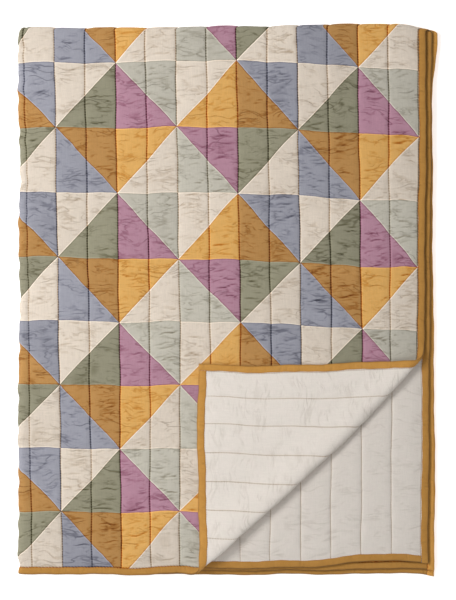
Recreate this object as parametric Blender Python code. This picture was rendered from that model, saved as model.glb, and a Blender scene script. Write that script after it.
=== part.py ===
"""A quilted patchwork bedspread, folded in quarters and lying flat, with one corner turned back.

Units are metres and +Z is up. The bundle's left edge (-X) and far edge (+Y) are folds, and its right and near
edges are open. The cloth is first drawn flat, in cloth coordinates: u runs across it, v along it and w over its
middle towards the patchwork. Its folds then carry every point into place, so that front, backing and binding
keep their sewn distances all the way round each bend.
"""

import math

import bmesh
import bpy
import numpy as np
from mathutils import Vector

# The flat bedspread. u = 0 is the seam right of the column of patches on the left fold, and v = 0 is the
# middle of the row of patches on the top fold.
PATCH_WIDTH = 0.120
PATCH_HEIGHT = 0.1266
RIGHT_EDGE = 0.7360
LEFT_EDGE = -0.897
HALF_LENGTH = 1.0736

# The quilting: straight lines of stitches, with the cloth crowned between them.
QUILTING_PITCH = PATCH_WIDTH / 2
CROWN = 0.0030
STITCH_DIP = 0.0013
PANEL_GAP = 0.0003

# The binding, a folded strip round the rim.
BINDING_WIDTH = 0.0145
BINDING_HALF = 0.0024
BINDING_WALL = 0.0009
BINDING_ROUND = 0.0010
SEAM_GAP = 0.0006
RIM_HALF = BINDING_HALF - BINDING_WALL - SEAM_GAP
RIM_INSET = BINDING_WALL + SEAM_GAP
CROWN_INSET = 0.0415

# The folds. The top fold is a hairpin of the cloth, and the left one bends the doubled cloth round. Places on
# the plan are measured from a point near the bundle's middle, and its true centre becomes the origin.
LAYER_PITCH = 0.0070
HAIRPIN = LAYER_PITCH / 2
LEFT_BEND = LAYER_PITCH
BEND_HEIGHT = LEFT_BEND + HAIRPIN + CROWN
LEFT_BEND_X = -0.4020
BUNDLE_CENTRE = (-0.00055, -0.00154)
HAIRPIN_STEPS = 10
BEND_STEPS = 8

# Where the left fold crosses the cloth: at the top fold and at the ends, and how far it lies from the inner
# layers' own fold.
LEFT_FOLD_TOP = -0.0735
LEFT_FOLD_LEAN = -0.0170
INNER_FOLD_TOP = -0.0750
INNER_FOLD_LEAN = 0.0050

# The top fold, from the left edge to the right one: place across the cloth, height of the fold's crest on the
# plan, how far the row of patches on it is pulled over, and how far the rows below bow down.
TOP_FOLD = (
    # u, crest, pull, bow, reach of the outer layers' open end, reach of the inner layers' one
    (-0.897, 0.5325, 0.0060, 0.002, 0.000, 0.000),
    (-0.860, 0.5385, 0.0050, 0.008, 0.000, 0.003),
    (-0.500, 0.5370, 0.0050, 0.010, 0.000, 0.006),
    (-0.150, 0.5380, 0.0060, 0.004, 0.000, 0.003),
    (0.000, 0.5385, 0.0060, 0.005, 0.000, 0.000),
    (0.120, 0.5380, 0.0050, 0.010, 0.000, 0.000),
    (0.240, 0.5398, 0.0022, 0.014, 0.000, 0.000),
    (0.330, 0.5407, 0.0025, 0.016, 0.004, 0.002),
    (0.420, 0.5416, 0.0050, 0.018, 0.010, 0.005),
    (0.480, 0.5422, 0.0080, 0.018, 0.011, 0.008),
    (0.600, 0.5462, 0.0205, 0.018, 0.010, 0.013),
    (0.660, 0.5455, 0.0225, 0.015, 0.008, 0.012),
    (0.736, 0.5342, 0.0190, 0.010, 0.004, 0.001),
)

# How much of the bow each seam between rows takes, from the top fold down.
ROW_BOW = (0.0, 0.45, 0.68, 1.0, 0.82, 0.74, 0.62, 0.50, 0.40)

# The open edge on the right: how far each layer draws in or out towards its end, and over what length.
EDGE_DRIFT = {
    # layer: (drift, reached at this distance from the top fold)
    "first": (-0.0125, 0.700),
    "second": (-0.0020, HALF_LENGTH),
    "third": (-0.0110, 0.160),
    "fourth": (0.0205, HALF_LENGTH),
}
RIGHT_DRIFT_FROM = 0.620
LEFT_DRIFT_FROM = -0.300

# The lower part of the top layer draws to the left. Its rows, and those below, also reach down as far as
# the table of the top fold says.
LOWER_FROM = 0.550
LOWER_DRAW = -0.0085
LOWER_DRAW_WIDTH = 0.300

# The turned-back corner: a point of its roll on the cloth and on the plan, the roll's direction on both, its
# shape along the roll, and how flat it is pressed.
CORNER_CLOTH = (0.4993, -0.8571)
CORNER_PLAN = (0.1625, -0.3427)
CORNER_ANGLE = math.radians(-44.6)
ROLL_SHAPE = (
    # along the roll, shift of its mirror line, radius
    (-0.330, -0.019, 0.0150),
    (-0.220, -0.009, 0.0145),
    (-0.110, -0.001, 0.0120),
    (0.000, 0.004, 0.0105),
    (0.100, 0.008, 0.0090),
    (0.200, 0.006, 0.0095),
    (0.280, 0.005, 0.0115),
    (0.330, 0.002, 0.0140),
)
ROLL_LINES = tuple(-0.042 + 0.006 * line for line in range(13)) + (0.050, 0.080, 0.120)
ROLL_PRESSED = 0.65
FLAP_SETTLE = 5.5
CORNER_FROM = (0.18, -0.50)

# Lines across the cloth where its mesh is divided, beside those of the folds and of the rims.
TOP_LAYER_LINES = (-0.820, -0.560, -0.400, -0.220, -0.080)
UNDER_LAYER_LINES = (0.100, 0.450, 0.800)
HIDDEN_SPANS = 3

MATERIALS = {
    "patchwork": ((0.62, 0.50, 0.38, 1.0), 0.92),
    "backing": ((0.74, 0.68, 0.61, 1.0), 0.92),
    "binding": ((0.53, 0.29, 0.07, 1.0), 0.88),
}


def ease(t):
    """A smooth step from 0 to 1."""
    t = np.clip(t, 0.0, 1.0)
    return t * t * (3.0 - 2.0 * t)


def from_table(table, column, at):
    """Reads a column of a short table whose first column is the place."""
    places = [row[0] for row in table]
    return np.interp(at, places, [row[column] for row in table])


def faceted(function, angle, steps):
    """Sine or cosine on a bend that is made of flat facets, so that all layers share the facets."""
    stations = np.linspace(0.0, math.pi, steps + 1)
    return np.interp(angle, stations, function(stations))


def left_fold(v, share_outer):
    """Where the left fold crosses the cloth: the outer layers' and the inner layers' folds differ a little."""
    along = np.abs(v) / HALF_LENGTH
    outer = LEFT_FOLD_TOP + LEFT_FOLD_LEAN * along
    inner = INNER_FOLD_TOP + INNER_FOLD_LEAN * along
    return inner + (outer - inner) * share_outer


def row_bow(v):
    """The share of the bow at a distance v below the top fold."""
    seams = [0.0] + [(row + 0.5) * PATCH_HEIGHT for row in range(1, len(ROW_BOW))]
    return np.interp(np.abs(v), seams, ROW_BOW)


def lower_part(v):
    """From 0 in the upper part of a layer to 1 at its open end."""
    return ease((np.abs(v) - LOWER_FROM) / (HALF_LENGTH - LOWER_FROM))


def edge_drift(u, v):
    """How far the cloth drifts sideways near its open edges."""
    def reach(layer):
        drift, length = EDGE_DRIFT[layer]
        return drift * ease(np.abs(v) / length)

    right = ease((u - RIGHT_DRIFT_FROM) / (RIGHT_EDGE - RIGHT_DRIFT_FROM))
    left = ease((u - LEFT_DRIFT_FROM) / (LEFT_EDGE - LEFT_DRIFT_FROM))
    upper = np.where(v < 0.0, reach("first"), reach("second"))
    lower = np.where(v < 0.0, reach("fourth"), reach("third"))
    draw = LOWER_DRAW * ease(u / LOWER_DRAW_WIDTH) * np.where(v < 0.0, lower_part(v), 0.0)
    return right * upper + left * lower + draw


def corner_roll(u, v, w, x, y, z):
    """Turns the top layer's corner back over its diagonal roll."""
    normal = np.array([math.cos(CORNER_ANGLE), math.sin(CORNER_ANGLE)])
    along = np.array([-normal[1], normal[0]])
    past = normal[0] * (u - CORNER_CLOTH[0]) + normal[1] * (v - CORNER_CLOTH[1])
    plan_past = normal[0] * (x - CORNER_PLAN[0]) + normal[1] * (y - CORNER_PLAN[1])
    plan_along = along[0] * (x - CORNER_PLAN[0]) + along[1] * (y - CORNER_PLAN[1])
    drift = plan_past - past
    shift = from_table(ROLL_SHAPE, 1, plan_along)
    radius = from_table(ROLL_SHAPE, 2, plan_along)

    def section(at):
        """The roll's section: plan place, height and turn of the cloth's middle at a distance past the line."""
        start = shift - math.pi * radius / 2
        turn = np.clip((at - start) / radius, 0.0, math.pi)
        after = np.maximum(at - start - math.pi * radius, 0.0)
        pressed = radius * ROLL_PRESSED
        settled = (2 * pressed - LAYER_PITCH) * ease(after / (FLAP_SETTLE * radius))
        place = np.minimum(at, start) + radius * np.sin(turn) - after
        height = pressed * (1.0 - np.cos(turn)) - settled
        return place, height, np.cos(turn), np.sin(turn)

    lines = np.array(ROLL_LINES)
    below = np.clip(np.searchsorted(lines, past) - 1, 0, len(lines) - 2)
    low, high = lines[below], lines[below + 1]
    share = (past - low) / (high - low)
    inside = (past > lines[0]) & (past < lines[-1])
    exact, first, last = section(past), section(low), section(high)
    place, height, cosine, sine = (
        np.where(inside, a + (b - a) * share, e) for e, a, b in zip(exact, first, last)
    )
    place = place + drift * cosine - w * sine
    turned = (u > CORNER_FROM[0]) & (v < CORNER_FROM[1])
    new_x = x + normal[0] * (place - plan_past)
    new_y = y + normal[1] * (place - plan_past)
    new_z = z - w + height + w * cosine
    return np.where(turned, new_x, x), np.where(turned, new_y, y), np.where(turned, new_z, z)


def folded(points):
    """World places of cloth points (u, v, w), as folded."""
    u, v, w = np.asarray(points, dtype=float).T
    crest, pull, bow, outer_reach, inner_reach = (from_table(TOP_FOLD, column, u) for column in range(1, 6))
    down = pull - v
    quarter = math.pi * HAIRPIN / 2
    turn = np.clip(math.pi / 2 - down / HAIRPIN, 0.0, math.pi)
    sine, cosine = (faceted(f, turn, HAIRPIN_STEPS) for f in (np.sin, np.cos))
    y = crest - HAIRPIN - CROWN + (HAIRPIN + w) * sine - np.maximum(np.abs(down) - quarter, 0.0)
    offset = (HAIRPIN + w) * cosine
    sag = bow * row_bow(v) + outer_reach * lower_part(v)
    y = y - np.where(v < 0.0, sag, inner_reach * ease(v / HALF_LENGTH))

    lead = u - left_fold(v, (1.0 + cosine) / 2)
    half_arc = math.pi / 2 * (LEFT_BEND + HAIRPIN * cosine)
    round_left = np.clip(math.pi / 2 * (1.0 - lead / half_arc), 0.0, math.pi)
    sine, cosine = (faceted(f, round_left, BEND_STEPS) for f in (np.sin, np.cos))
    x = LEFT_BEND_X + np.maximum(np.abs(lead) - half_arc, 0.0) - (LEFT_BEND + offset) * sine
    z = BEND_HEIGHT + (LEFT_BEND + offset) * cosine
    x = x + edge_drift(u, v)
    x, y, z = corner_roll(u, v, w, x, y, z)
    return np.column_stack((x - BUNDLE_CENTRE[0], y - BUNDLE_CENTRE[1], z))


def cloth_columns(v, share_outer):
    """Places across the cloth where its mesh is divided, at one v."""
    fold = float(left_fold(v, share_outer))
    half_arc = math.pi / 2 * (LEFT_BEND + HAIRPIN * (2 * share_outer - 1))
    columns = [LEFT_EDGE + RIM_INSET, LEFT_EDGE + BINDING_WIDTH + 0.001, LEFT_EDGE + CROWN_INSET]
    straight = fold - half_arc - columns[-1]
    columns += [columns[-1] + straight * span / HIDDEN_SPANS for span in range(1, HIDDEN_SPANS)]
    columns += [fold - half_arc * (1 - 2 * step / BEND_STEPS) for step in range(BEND_STEPS + 1)]
    columns.append(max(-QUILTING_PITCH, columns[-1] + 0.004))
    columns.append(-QUILTING_PITCH / 2)
    columns += [line * QUILTING_PITCH / 2 for line in range(23)]
    columns += [RIGHT_EDGE - CROWN_INSET, RIGHT_EDGE - BINDING_WIDTH - 0.001, RIGHT_EDGE - RIM_INSET]
    return columns


def cloth_rows():
    """Places along the cloth where its mesh is divided, as (v, None), or on the top fold as (None, turn)."""
    ends = [HALF_LENGTH - RIM_INSET, HALF_LENGTH - BINDING_WIDTH - 0.001, HALF_LENGTH - CROWN_INSET]
    rows = [(-v, None) for v in ends] + [(v, None) for v in TOP_LAYER_LINES]
    rows += [(None, math.pi * step / HAIRPIN_STEPS) for step in range(HAIRPIN_STEPS + 1)]
    return rows + [(v, None) for v in UNDER_LAYER_LINES] + [(v, None) for v in reversed(ends)]


def cloth_mesh():
    """The flat cloth as a triangulated sheet, divided where it bends."""
    bm = bmesh.new()
    rows = []
    for v, turn in cloth_rows():
        outer = (1.0 if v < 0 else 0.0) if turn is None else (1 + math.cos(turn)) / 2
        row = []
        for u in cloth_columns(v or 0.0, outer):
            pull = float(from_table(TOP_FOLD, 2, u))
            at = v if turn is None else pull - (math.pi / 2 - turn) * HAIRPIN
            row.append(bm.verts.new((u, at, 0.0)))
        rows.append(row)
    for lower, upper in zip(rows, rows[1:]):
        for corner in range(len(lower) - 1):
            bm.faces.new((lower[corner], lower[corner + 1], upper[corner + 1], upper[corner]))
    normal = Vector((math.cos(CORNER_ANGLE), math.sin(CORNER_ANGLE), 0.0))
    for line in ROLL_LINES:
        middles = [(face, face.calc_center_median()) for face in bm.faces]
        corner = [face for face, at in middles if at.x > CORNER_FROM[0] and at.y < CORNER_FROM[1]]
        edges = list({edge for face in corner for edge in face.edges})
        verts = list({vert for face in corner for vert in face.verts})
        on_line = Vector((*CORNER_CLOTH, 0.0)) + normal * line
        bmesh.ops.bisect_plane(bm, geom=verts + edges + corner, dist=1e-5, plane_co=on_line, plane_no=normal)
    bmesh.ops.triangulate(bm, faces=bm.faces[:])
    return bm


def outer_height(u, v):
    """Height of a panel's outer face over the cloth's middle: crowned between the quilting lines."""
    turn = np.clip(math.pi / 2 - (from_table(TOP_FOLD, 2, u) - v) / HAIRPIN, 0.0, math.pi)
    lead = u - left_fold(v, (1.0 + np.cos(turn)) / 2)
    between = np.abs((u / QUILTING_PITCH + 0.5) % 1.0 - 0.5) * 2
    dip = np.where(lead > 0.0, 1.0 - between, 0.0)
    crowned = CROWN - (CROWN - STITCH_DIP) * dip
    from_edge = np.minimum(np.minimum(RIGHT_EDGE - u, u - LEFT_EDGE), HALF_LENGTH - np.abs(v))
    rise = np.clip((from_edge - BINDING_WIDTH - 0.001) / (CROWN_INSET - BINDING_WIDTH - 0.001), 0.0, 1.0)
    return RIM_HALF + (crowned - RIM_HALF) * rise


def add_object(name, bm, material):
    """Makes an object of a finished mesh and gives it its cloth."""
    mesh = bpy.data.meshes.new(name)
    bm.to_mesh(mesh)
    bm.free()
    mesh.materials.append(material)
    obj = bpy.data.objects.new(name, mesh)
    bpy.context.scene.collection.objects.link(obj)
    return obj


def place(bm):
    """Folds every vertex of a flat mesh into its place."""
    bm.normal_update()
    bmesh.ops.triangulate(bm, faces=bm.faces[:], ngon_method="EAR_CLIP")
    bmesh.ops.recalc_face_normals(bm, faces=bm.faces[:])
    places = folded([tuple(vert.co) for vert in bm.verts])
    for vert, at in zip(bm.verts, places):
        vert.co = at


def panel(name, side, material):
    """One of the two quilted panels. side is 1 for the patchwork's and -1 for the backing's."""
    bm = cloth_mesh()
    inner = bm.verts[:]
    made = bmesh.ops.extrude_face_region(bm, geom=bm.faces[:])["geom"]
    outer = [item for item in made if isinstance(item, bmesh.types.BMVert)]
    heights = outer_height(*np.array([vert.co[:2] for vert in outer]).T)
    for vert, height in zip(outer, heights):
        vert.co.z = side * height
    for vert in inner:
        vert.co.z = side * PANEL_GAP / 2
    place(bm)
    return add_object(name, bm, material)


def binding_section():
    """The strip's C section: distance in from the outer edge, and height over the cloth's middle."""
    inside = BINDING_HALF - BINDING_WALL
    upper = [
        (BINDING_WIDTH, inside),
        (BINDING_WIDTH, BINDING_HALF),
        (BINDING_ROUND, BINDING_HALF),
        (0.0, BINDING_HALF - BINDING_ROUND),
    ]
    lower = [(inset, -height) for inset, height in reversed(upper)]
    return upper + lower + [(BINDING_WALL, -inside), (BINDING_WALL, inside)]


def diagonal_lines(edge_at, across_v):
    """The roll's lines as stations of a strip: slope and place where they cross the strip's outer edge."""
    normal = (math.cos(CORNER_ANGLE), math.sin(CORNER_ANGLE))
    cloth = CORNER_CLOTH
    stations = []
    for line in ROLL_LINES:
        if across_v:
            at = cloth[1] + (line - normal[0] * (edge_at - cloth[0])) / normal[1]
            stations.append((at, -normal[0] / normal[1]))
        else:
            at = cloth[0] + (line - normal[1] * (edge_at - cloth[1])) / normal[0]
            stations.append((at, -normal[1] / normal[0]))
    return stations


def strip(name, stations, edge_point, material):
    """Lofts the binding's section through stations (place along the edge, slope of the line across it)."""
    bm = bmesh.new()
    section = binding_section()
    rings = []
    for at, slope in stations:
        rings.append([bm.verts.new((*edge_point(at, slope, inset), height)) for inset, height in section])
    for ring, after in zip(rings, rings[1:]):
        for corner in range(len(section)):
            other = (corner + 1) % len(section)
            bm.faces.new((ring[corner], ring[other], after[other], after[corner]))
    bm.faces.new(rings[0])
    bm.faces.new(rings[-1][::-1])
    place(bm)
    return add_object(name, bm, material)


def side_stations(edge):
    """Stations along a side binding, which runs the cloth's full length."""
    inward = -math.copysign(BINDING_WIDTH, edge)
    pull, inner_pull = (float(from_table(TOP_FOLD, 2, u)) for u in (edge, edge + inward))
    stations = []
    for v, turn in cloth_rows():
        if turn is None:
            stations.append((v, 0.0))
        else:
            stations.append((pull - (math.pi / 2 - turn) * HAIRPIN, (inner_pull - pull) / inward))
    stations = stations[1:-1]
    stations = [(-HALF_LENGTH, 0.0), *stations, (HALF_LENGTH, 0.0)]
    if edge > 0.0:
        diagonals = diagonal_lines(edge, True)
        low, high = sorted((diagonals[0][0], diagonals[-1][0]))
        stations = [station for station in stations if not low - 0.016 < station[0] < high + 0.016]
        stations = sorted(stations + diagonals)
    return stations


def end_stations(end):
    """Stations along an end binding, which fits between the side ones."""
    columns = cloth_columns(end, 1.0 if end < 0 else 0.0)
    first, last = LEFT_EDGE + BINDING_WIDTH + PANEL_GAP, RIGHT_EDGE - BINDING_WIDTH - PANEL_GAP
    inner = columns[2:-3]
    bend_end = len(inner) - 25
    kept = inner[:bend_end] + inner[bend_end::2]
    stations = [(u, 0.0) for u in [first, *kept, columns[-3], last]]
    if end < 0.0:
        diagonals = diagonal_lines(end, False)
        low, high = diagonals[0][0] - 0.012, diagonals[-1][0] + 0.012
        stations = [station for station in stations if not low < station[0] < high]
        stations = sorted(stations + diagonals)
    return stations


def make_side_binding(name, edge, material):
    """A side binding on the edge u = edge."""
    inward = -math.copysign(1.0, edge)

    def point(at, slope, inset):
        return edge + inward * inset, at + slope * inward * inset

    return strip(name, side_stations(edge), point, material)


def make_end_binding(name, end, material):
    """An end binding on the edge v = end."""
    inward = -math.copysign(1.0, end)

    def point(at, slope, inset):
        return at + slope * inward * inset, end + inward * inset

    return strip(name, end_stations(end), point, material)


def make_material(name):
    """The cloth of a sub-part, as a plain Principled surface."""
    colour, roughness = MATERIALS[name]
    material = bpy.data.materials.new(name)
    material.use_nodes = True
    shader = material.node_tree.nodes["Principled BSDF"]
    shader.inputs["Base Color"].default_value = colour
    shader.inputs["Roughness"].default_value = roughness
    shader.inputs["Metallic"].default_value = 0.0
    return material


def main():
    """Builds the bedspread's pieces."""
    for obj in list(bpy.data.objects):
        bpy.data.objects.remove(obj)
    patchwork, backing, binding = (make_material(name) for name in MATERIALS)
    panel("patchwork_front", 1, patchwork)
    panel("backing", -1, backing)
    make_side_binding("binding_side_right", RIGHT_EDGE, binding)
    make_side_binding("binding_side_left", LEFT_EDGE, binding)
    make_end_binding("binding_end_bottom", -HALF_LENGTH, binding)
    make_end_binding("binding_end_top", HALF_LENGTH, binding)


if __name__ == "__main__":
    main()
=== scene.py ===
"""The looks of a quilted patchwork bedspread that lies folded in quarters, with one corner turned back.

Every piece is first drawn on the flat cloth, in cloth coordinates in metres: u runs across it, v along it and
w over its middle towards the patchwork. The folding then carries each point into its place.
"""

import logging
import math
from dataclasses import dataclass
from enum import Enum
from typing import Any

import bpy
import numpy as np
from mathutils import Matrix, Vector


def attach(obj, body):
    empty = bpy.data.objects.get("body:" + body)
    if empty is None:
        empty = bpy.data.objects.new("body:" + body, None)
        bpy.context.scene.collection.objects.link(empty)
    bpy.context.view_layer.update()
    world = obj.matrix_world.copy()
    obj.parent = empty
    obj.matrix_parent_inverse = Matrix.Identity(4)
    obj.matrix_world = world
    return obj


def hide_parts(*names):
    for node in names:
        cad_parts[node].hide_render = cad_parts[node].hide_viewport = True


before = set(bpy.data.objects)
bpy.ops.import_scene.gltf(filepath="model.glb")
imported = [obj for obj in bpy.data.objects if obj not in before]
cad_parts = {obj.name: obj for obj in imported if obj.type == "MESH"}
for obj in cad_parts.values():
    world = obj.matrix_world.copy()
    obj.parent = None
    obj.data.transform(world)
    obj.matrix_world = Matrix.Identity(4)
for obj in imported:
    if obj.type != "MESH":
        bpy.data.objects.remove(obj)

Array = np.ndarray
log = logging.getLogger("bedspread")
MM = 0.001

# The top fold, from the left edge of the cloth to the right one.
TOP_FOLD = (
    # u, crest, pull, bow, reach of the outer layers' open end, reach of the inner layers' one
    (-0.897, 0.5325, 0.0060, 0.002, 0.000, 0.000),
    (-0.860, 0.5385, 0.0050, 0.008, 0.000, 0.003),
    (-0.500, 0.5370, 0.0050, 0.010, 0.000, 0.006),
    (-0.150, 0.5380, 0.0060, 0.004, 0.000, 0.003),
    (0.000, 0.5385, 0.0060, 0.005, 0.000, 0.000),
    (0.120, 0.5380, 0.0050, 0.010, 0.000, 0.000),
    (0.240, 0.5398, 0.0022, 0.014, 0.000, 0.000),
    (0.330, 0.5407, 0.0025, 0.016, 0.004, 0.002),
    (0.420, 0.5416, 0.0050, 0.018, 0.010, 0.005),
    (0.480, 0.5422, 0.0080, 0.018, 0.011, 0.008),
    (0.600, 0.5462, 0.0205, 0.018, 0.010, 0.013),
    (0.660, 0.5455, 0.0225, 0.015, 0.008, 0.012),
    (0.736, 0.5342, 0.0190, 0.010, 0.004, 0.001),
)

# The share of the bow that each seam between rows takes: distance below the fold, share.
ROW_BOW = (
    (0.0, 0.0),
    (0.1899, 0.45),
    (0.3165, 0.68),
    (0.4431, 1.0),
    (0.5697, 0.82),
    (0.6963, 0.74),
    (0.8229, 0.62),
    (0.9495, 0.50),
    (1.0761, 0.40),
)

# The turned-back corner's roll: place along it, shift of its mirror line, radius.
ROLL_SHAPE = (
    (-0.330, -0.019, 0.0150),
    (-0.220, -0.009, 0.0145),
    (-0.110, -0.001, 0.0120),
    (0.000, 0.004, 0.0105),
    (0.100, 0.008, 0.0090),
    (0.200, 0.006, 0.0095),
    (0.280, 0.005, 0.0115),
    (0.330, 0.002, 0.0140),
)

# How the folded left edge sways: distance below the top fold, shift.
LEFT_SWAY = (
    (0.00, -0.0010),
    (0.07, -0.0020),
    (0.15, -0.0005),
    (0.28, 0.0030),
    (0.39, -0.0005),
    (0.53, 0.0030),
    (0.63, 0.0000),
    (0.87, -0.0007),
    (1.07, -0.0007),
)

# The plainest creases of the top layer: across and down the cloth in cm, length in cm, tilt, depth in mm.
MAIN_CREASES = (
    (-5.9, 9.8, 2.0, 30, 0.8),
    (-2.8, 12.0, 2.4, -3, 0.9),
    (-2.6, 12.6, 2.2, 2, 0.7),
    (7.9, 12.8, 4.0, -4, 1.0),
    (10.5, 13.8, 1.6, 0, 0.8),
    (8.5, 18.0, 5.1, 3, 1.1),
    (12.3, 9.8, 2.0, 20, 0.9),
    (12.1, 13.3, 1.8, 25, 0.9),
    (57.2, 26.6, 4.4, -3, 1.0),
    (50.3, 27.3, 2.4, 4, 0.8),
    (50.9, 29.6, 3.4, 0, 0.9),
    (68.9, 31.6, 4.2, -18, 1.0),
    (62.6, 27.9, 2.6, 18, 0.9),
    (58.0, 37.6, 3.0, -2, 1.0),
    (62.0, 37.8, 3.6, -4, 0.9),
    (63.2, 39.0, 4.2, 3, 1.0),
    (56.2, 42.1, 2.8, 10, 1.1),
    (52.9, 43.5, 2.4, 8, 0.9),
    (62.8, 43.9, 3.8, 2, 0.9),
    (69.5, 45.9, 3.0, 10, 1.4),
    (57.4, 50.5, 5.9, 11, 1.4),
    (51.3, 51.7, 5.1, 5, 1.4),
    (64.9, 50.5, 2.6, 20, 1.0),
    (68.7, 38.6, 3.6, 3, 0.9),
    (68.5, 35.6, 4.2, -2, 0.8),
    (69.5, 41.3, 2.6, 8, 0.9),
    (54.3, 46.7, 5.0, -2, 0.9),
    (15.2, 48.3, 2.4, 12, 0.8),
    (33.3, 48.1, 5.3, -12, 1.1),
    (33.5, 49.7, 5.3, 12, 1.2),
    (34.1, 51.7, 4.2, -9, 1.0),
    (22.6, 54.5, 2.6, 10, 0.8),
    (25.7, 54.4, 2.6, 3, 1.0),
    (17.2, 56.2, 2.4, 12, 0.7),
    (21.6, 59.3, 5.0, 9, 1.0),
    (21.2, 62.2, 5.3, 2, 0.8),
    (22.0, 64.3, 4.4, 12, 0.9),
    (15.6, 63.0, 3.0, 3, 0.8),
    (27.3, 60.0, 5.5, 2, 0.6),
    (28.3, 29.6, 2.8, 20, 1.0),
    (32.1, 31.2, 5.0, 2, 0.9),
    (26.9, 32.0, 5.3, 0, 0.9),
    (22.0, 34.0, 3.6, 6, 0.8),
    (28.3, 37.2, 3.2, 22, 0.7),
    (22.6, 40.4, 2.4, 18, 0.7),
    (4.2, 90.5, 5.1, 12, 1.0),
    (9.5, 90.2, 5.1, 0, 1.0),
    (6.9, 94.1, 10.7, -4, 1.1),
    (-3.4, 97.5, 3.0, -38, 1.2),
    (9.5, 97.2, 5.1, 0, 1.1),
    (3.8, 99.8, 5.5, 2, 0.9),
    (4.2, 101.5, 5.3, 0, 1.0),
    (9.9, 100.7, 4.8, 8, 0.8),
    (15.4, 99.3, 5.5, 10, 0.9),
    (21.6, 104.6, 4.6, 9, 1.2),
    (26.3, 104.2, 3.2, 5, 1.2),
    (21.0, 90.8, 4.8, -14, 1.1),
    (21.8, 88.0, 5.3, 0, 0.8),
    (22.6, 91.1, 3.8, 6, 0.9),
    (15.4, 94.2, 5.7, 5, 1.0),
)


class Face(Enum):
    """The quilt's two faces, as the sign of w."""

    FRONT = 1
    BACK = -1


class Cotton(Enum):
    """The cottons of the patchwork, as display tones from 0 to 255."""

    CREAM = (218, 206, 192)
    BLUE_GREY = (152, 153, 164)
    LIGHT_SAGE = (191, 187, 175)
    DARK_SAGE = (146, 143, 122)
    BROWN = (181, 136, 80)
    OCHRE = (222, 172, 99)
    MAUVE = (177, 134, 152)


# The cottons of each patch: four columns of the even rows, then of the odd ones, left halves first.
PATCH_COTTONS = (
    Cotton.DARK_SAGE,
    Cotton.BLUE_GREY,
    Cotton.OCHRE,
    Cotton.LIGHT_SAGE,
    Cotton.BROWN,
    Cotton.CREAM,
    Cotton.MAUVE,
    Cotton.CREAM,
    Cotton.CREAM,
    Cotton.BROWN,
    Cotton.CREAM,
    Cotton.MAUVE,
    Cotton.BLUE_GREY,
    Cotton.DARK_SAGE,
    Cotton.LIGHT_SAGE,
    Cotton.OCHRE,
)

# The plainest creases of the back on the layer below the turned corner, as above with the distance down it.
BACK_CREASES = (
    (29.0, -85.5, 4.0, -8, 0.8),
    (33.5, -83.0, 4.5, 14, 0.8),
    (26.5, -88.5, 3.5, -20, 0.7),
    (28.0, -91.5, 5.0, 4, 0.9),
    (33.0, -90.0, 4.6, -6, 0.7),
    (22.0, -93.5, 4.4, 10, 0.8),
    (27.5, -96.0, 4.8, -12, 0.8),
    (33.5, -95.5, 4.5, 8, 0.9),
    (16.0, -97.5, 4.6, 5, 0.7),
    (21.5, -100.0, 5.0, -14, 0.9),
    (27.5, -101.5, 4.5, 12, 0.8),
    (33.0, -101.0, 4.2, -4, 0.7),
    (10.0, -101.0, 4.4, -8, 0.7),
    (15.5, -103.5, 4.5, 6, 0.7),
    (33.5, -76.0, 4.0, -10, 0.7),
    (35.0, -70.5, 3.0, 12, 0.6),
)

# Whether the right half of a patch is the paler one, for the columns of the even rows and of the odd ones.
# Whether the patch above a row seam is paler than the one below it, for the seams under even and odd rows.
PALER_RIGHT = (1, 0, 1, 0, 1, 0, 1, 0)
PALER_ABOVE = (1, 0, 1, 0, 0, 1, 0, 1)


def ease(t: Array) -> Array:
    """A smooth step from 0 to 1."""
    t = np.clip(t, 0.0, 1.0)
    return t * t * (3.0 - 2.0 * t)


def linear(tone: tuple[float, float, float]) -> tuple[float, float, float, float]:
    """A display tone from 0 to 255 as a linear colour."""
    shares = [channel / 255 for channel in tone]
    parts = [s / 12.92 if s <= 0.04045 else ((s + 0.055) / 1.055) ** 2.4 for s in shares]
    return (*parts, 1.0)


def read_table(table: tuple, column: int, at: Array) -> Array:
    """Reads a short table along a smooth curve that doesn't overshoot.

    Args:
        table: rows whose first value is the place.
        column: the column to read.
        at: the places to read it at.

    Returns:
        The value at each place, held beyond the table's ends.
    """
    places = np.array([row[0] for row in table])
    values = np.array([row[column] for row in table])
    steps = np.diff(places)
    rises = np.diff(values) / steps
    slopes = np.concatenate(([rises[0]], np.zeros(len(places) - 2), [rises[-1]]))
    same = rises[:-1] * rises[1:] > 0.0
    total = np.where(same, rises[:-1] + rises[1:], 1.0)
    slopes[1:-1] = np.where(same, 2.0 * rises[:-1] * rises[1:] / total, 0.0)
    held = np.clip(at, places[0], places[-1])
    span = np.clip(np.searchsorted(places, held) - 1, 0, len(steps) - 1)
    t = (held - places[span]) / steps[span]
    rise = (values[span + 1] - values[span]) * t * t * (3.0 - 2.0 * t)
    bend = slopes[span] * t * (1.0 - t) ** 2 - slopes[span + 1] * t * t * (1.0 - t)
    return values[span] + rise + bend * steps[span]


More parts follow.
